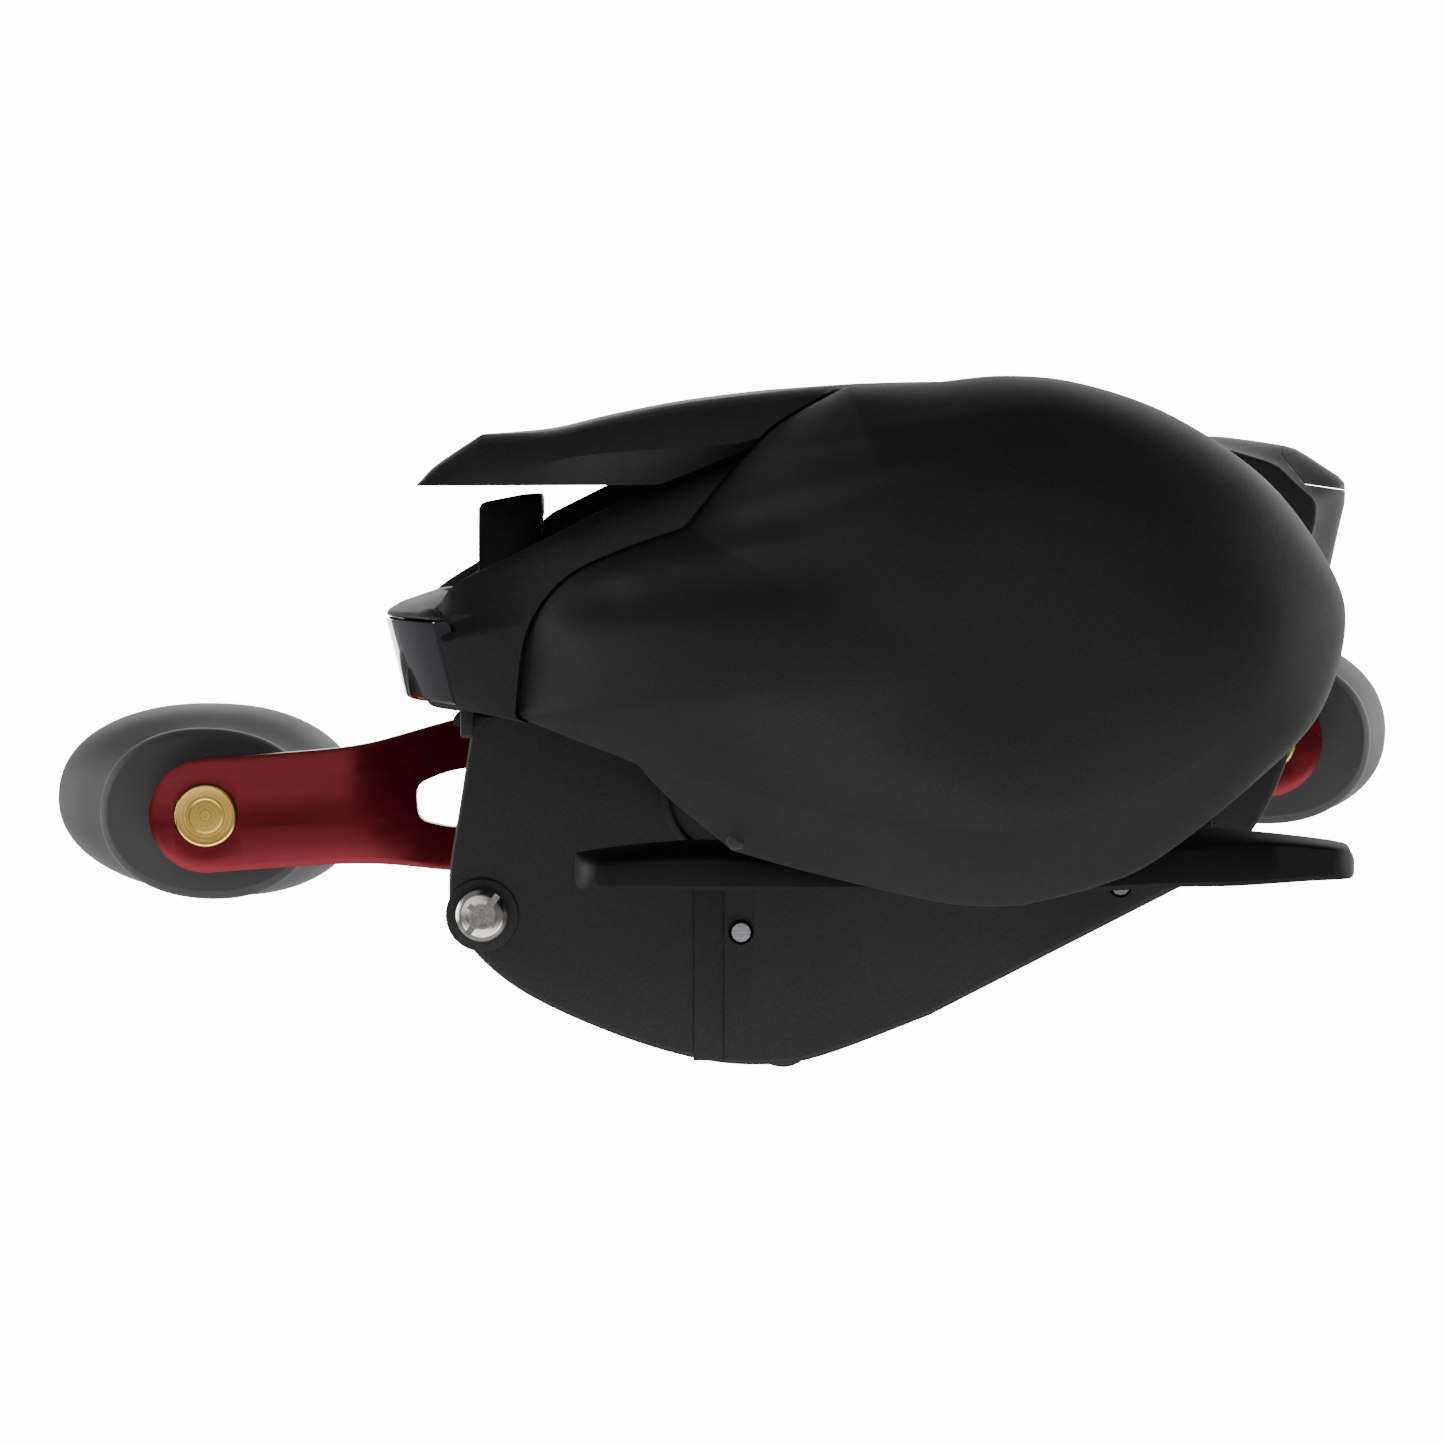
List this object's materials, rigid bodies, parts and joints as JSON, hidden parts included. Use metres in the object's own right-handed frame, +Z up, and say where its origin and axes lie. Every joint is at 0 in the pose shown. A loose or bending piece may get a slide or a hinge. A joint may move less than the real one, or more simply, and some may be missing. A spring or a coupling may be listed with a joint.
{
  "type": "baitcasting fishing reel",
  "caption": "Low-profile baitcasting reel with a domed palm cover, hooded line exit, swept double-knob handle, star drag, level wind and geared spool",
  "frame": {"origin": "middle of the flat strip under the reel foot, in the plane of the rod's centre line", "axes": "+X towards the rod butt, -X where the line leaves, +Y the handle side, -Y the palm side, +Z up away from the rod"},
  "size_m": [0.1066, 0.0936, 0.0534],
  "materials": {
    "black_shell": "satin-matte black moulded graphite resin, fine grain",
    "black_alloy": "black painted alloy",
    "gloss_black": "gloss black",
    "red_alloy": "deep red anodised, brushed",
    "brass": "turned brass",
    "bright_steel": "nickel-bright turned steel",
    "spool_alloy": "dark anodised, turned",
    "knob_rubber": "soft matte rubber",
    "dark_nylon": "moulded nylon",
    "drag_felt": "compressed woven fibre",
    "ceramic": "polished dark ceramic"
  },
  "bodies": {
    "body": {"frame": "black_shell", "front_cover": "black_shell", "nose_plate": "gloss_black", "top_hood": "black_shell", "gear_side_plate": "black_shell", "gear_side_cover": "black_shell", "gear_cover_cap": "black_shell", "side_screw": "bright_steel", "dowel_pin_front": "bright_steel", "dowel_pin_rear": "bright_steel", "pinion_bearing": "bright_steel", "shaft_end_bearing": "bright_steel", "yoke_spring_upper": "bright_steel", "yoke_spring_lower": "bright_steel", "worm_guard": "bright_steel", "worm_bushing_palm": "brass", "worm_bushing_gear": "brass", "drive_shaft_bearing": "bright_steel", "roller_clutch": "bright_steel"},
    "palm_cover": {"palm_side_cover": "black_shell", "brake_case": "black_shell", "brake_race": "bright_steel", "spool_bearing_palm": "bright_steel"},
    "release": {"release_lever": "black_shell"},
    "spool_set": {"spool": "spool_alloy", "spool_shaft": "bright_steel", "spool_pin": "bright_steel", "brake_hub": "dark_nylon"},
    "yoke": {"pinion_yoke": "black_shell"},
    "pinion_set": {"pinion": "brass"},
    "clutch": {"clutch_cam": "black_shell"},
    "thumb": {"thumb_bar": "black_shell"},
    "drive": {"drive_shaft": "bright_steel", "idler_gear": "dark_nylon", "anti_reverse_ratchet": "bright_steel", "drive_gear": "brass", "drag_washer": "drag_felt", "key_washer": "bright_steel", "roller_clutch_tube": "bright_steel", "drag_spring_washer": "bright_steel", "handle_arm": "red_alloy", "handle_nut": "bright_steel", "nut_retainer": "red_alloy", "retainer_screw": "bright_steel", "knob_shaft_front": "brass", "knob_shaft_rear": "brass"},
    "star": {"star_drag": "black_alloy"},
    "front_knob": {"knob_front": "knob_rubber", "knob_cap_front": "black_shell"},
    "rear_knob": {"knob_rear": "knob_rubber", "knob_cap_rear": "black_shell"},
    "worm": {"worm_shaft": "bright_steel", "worm_gear": "brass"},
    "guide": {"line_guide": "black_shell", "guide_insert": "ceramic", "level_wind_pawl": "bright_steel", "pawl_cap": "bright_steel"},
    "cast_control": {"cast_control_cap": "black_shell"}
  },
  "joints": [
    {"name": "drive_spin", "type": "hinge", "parent": "body", "child": "drive", "pos_m": [-0.0169, 0, 0.0064], "axis": [0, 1, 0], "continuous": true},
    {"name": "spool_spin", "type": "hinge", "parent": "body", "child": "spool_set", "pos_m": [-0.0014, 0, 0.01896], "axis": [0, 1, 0], "continuous": true},
    {"name": "yoke_slide", "type": "slide", "parent": "body", "child": "yoke", "axis": [0, 1, 0], "range_m": [0, 0.0016]},
    {"name": "pinion_spin", "type": "hinge", "parent": "yoke", "child": "pinion_set", "pos_m": [-0.0014, 0, 0.01896], "axis": [0, 1, 0], "continuous": true},
    {"name": "worm_spin", "type": "hinge", "parent": "body", "child": "worm", "pos_m": [-0.0333, 0, 0.01785], "axis": [0, 1, 0], "continuous": true},
    {"name": "guide_travel", "type": "slide", "parent": "body", "child": "guide", "axis": [0, 1, 0], "range_m": [-0.0075, 0.0075]},
    {"name": "thumb_press", "type": "slide", "parent": "body", "child": "thumb", "axis": [0, 0, -1], "range_m": [0, 0.0022]},
    {"name": "clutch_slide", "type": "slide", "parent": "body", "child": "clutch", "axis": [0, 0, -1], "range_m": [0, 0.0022]},
    {"name": "star_turn", "type": "hinge", "parent": "drive", "child": "star", "pos_m": [-0.0169, 0, 0.0064], "axis": [0, 1, 0], "range_deg": [-90, 90]},
    {"name": "front_knob_spin", "type": "hinge", "parent": "drive", "child": "front_knob", "pos_m": [-0.05809, 0, 0.00345], "axis": [0, 1, 0], "continuous": true},
    {"name": "rear_knob_spin", "type": "hinge", "parent": "drive", "child": "rear_knob", "pos_m": [0.02429, 0, 0.00935], "axis": [0, 1, 0], "continuous": true},
    {"name": "cast_control_turn", "type": "hinge", "parent": "body", "child": "cast_control", "pos_m": [-0.0014, 0, 0.01896], "axis": [0, 1, 0], "range_deg": [-180, 180]},
    {"name": "palm_cover_off", "type": "slide", "parent": "body", "child": "palm_cover", "axis": [0, -1, 0], "range_m": [0, 0.02]},
    {"name": "release_turn", "type": "hinge", "parent": "palm_cover", "child": "release", "pos_m": [-0.0129, -0.0181, 0.0074], "axis": [0, 1, 0], "range_deg": [0, 25]}
  ],
  "couplings": [
    {"joint": "spool_spin", "follows": "drive_spin", "ratio": -6.3077},
    {"joint": "pinion_spin", "follows": "drive_spin", "ratio": -6.3077},
    {"joint": "worm_spin", "follows": "drive_spin", "ratio": -3.4444},
    {"joint": "clutch_slide", "follows": "thumb_press", "ratio": 1},
    {"joint": "yoke_slide", "follows": "thumb_press", "ratio": 0.72727}
  ]
}
